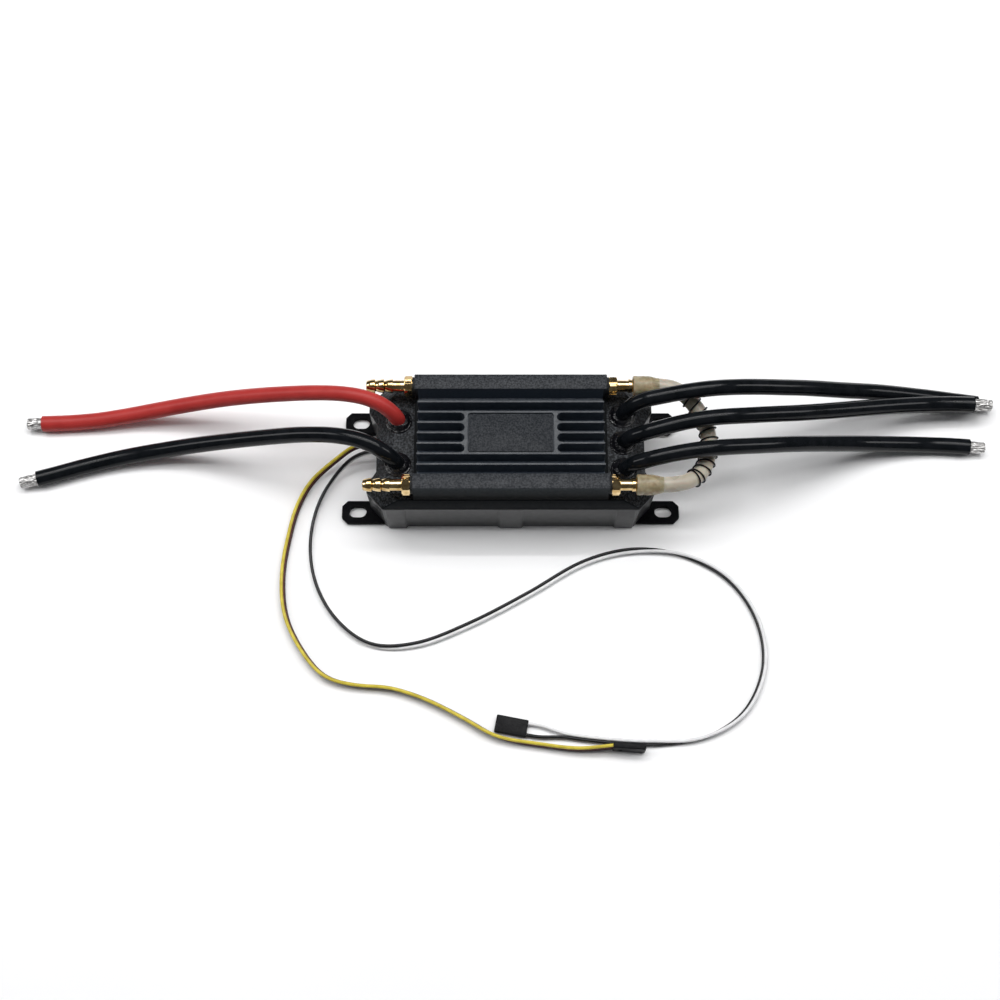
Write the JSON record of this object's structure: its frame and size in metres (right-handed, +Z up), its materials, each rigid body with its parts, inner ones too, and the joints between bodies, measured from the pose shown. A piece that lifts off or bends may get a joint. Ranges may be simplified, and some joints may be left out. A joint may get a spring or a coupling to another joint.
{
  "type": "electronic speed controller",
  "caption": "Water-cooled brushless motor speed controller: finned heat sink on a flanged black case, barbed brass water nozzles, thick battery and motor wires, two thin leads.",
  "frame": {"origin": "centre of the case's underside, on the surface the controller stands on", "axes": "+X from the battery wires' end to the motor wires' end, +Y towards the long side away from the signal leads' loop, +Z up through the heat sink"},
  "size_m": [0.4555, 0.1717, 0.0484],
  "materials": {
    "case_lower": "satin black moulding, smooth walls",
    "case_upper": "black moulding, fine spark texture on top, smooth glossy flanks",
    "gasket": "matt",
    "screw_steel": "zinc plated",
    "anodised_black": "blasted and black anodised, satin",
    "plate_black": "fine sandblasted black anodised, blank",
    "nozzle_brass": "turned, bright",
    "washer_rubber": "matt",
    "silicone_clear": "milky translucent",
    "silicone_collar": "milky translucent, yellowed",
    "spring_steel": "blackened wire",
    "potting": "glossy cured sealant",
    "silicone_red": "satin silicone insulation",
    "silicone_black": "satin silicone insulation",
    "tinned_copper": "solder-dipped strands",
    "lead_yellow": "soft PVC ribbon of yellow, red and brown strands",
    "lead_white": "soft PVC pair of white and black strands",
    "connector_black": "moulded, fine texture",
    "board_green": "solder mask",
    "board_blue": "solder mask",
    "chip_black": "moulded epoxy",
    "pad_grey": "soft pad",
    "copper": "bare",
    "capacitor_sleeve": "shrunk sleeve"
  },
  "bodies": {
    "root": {"lower_case": "case_lower", "upper_case": "case_upper", "case_gasket": "gasket", "case_screws": "screw_steel", "heat_sink": "anodised_black", "heat_sink_gasket": "gasket", "heat_sink_screws": "screw_steel", "nameplate": "plate_black", "nozzle_back_left": "nozzle_brass", "nozzle_front_left": "nozzle_brass", "nozzle_back_right": "nozzle_brass", "nozzle_front_right": "nozzle_brass", "nozzle_washers": "washer_rubber", "cooling_tube": "silicone_clear", "tube_collars": "silicone_collar", "tube_spring": "spring_steel", "wire_seals": "potting", "battery_wire_positive": "silicone_red", "battery_wire_negative": "silicone_black", "battery_tip_positive": "tinned_copper", "battery_tip_negative": "tinned_copper", "motor_wire_a": "silicone_black", "motor_wire_b": "silicone_black", "motor_wire_c": "silicone_black", "motor_tip_a": "tinned_copper", "motor_tip_b": "tinned_copper", "motor_tip_c": "tinned_copper", "signal_gland": "gasket", "throttle_lead": "lead_yellow", "throttle_connector": "connector_black", "program_lead": "lead_white", "program_connector": "connector_black", "power_board": "board_green", "mosfets": "chip_black", "thermal_pad": "pad_grey", "terminal_posts": "copper", "capacitors": "capacitor_sleeve", "control_board": "board_blue", "control_chips": "chip_black", "board_header": "chip_black", "board_spacers": "nozzle_brass", "board_screws": "screw_steel"}
  },
  "joints": []
}
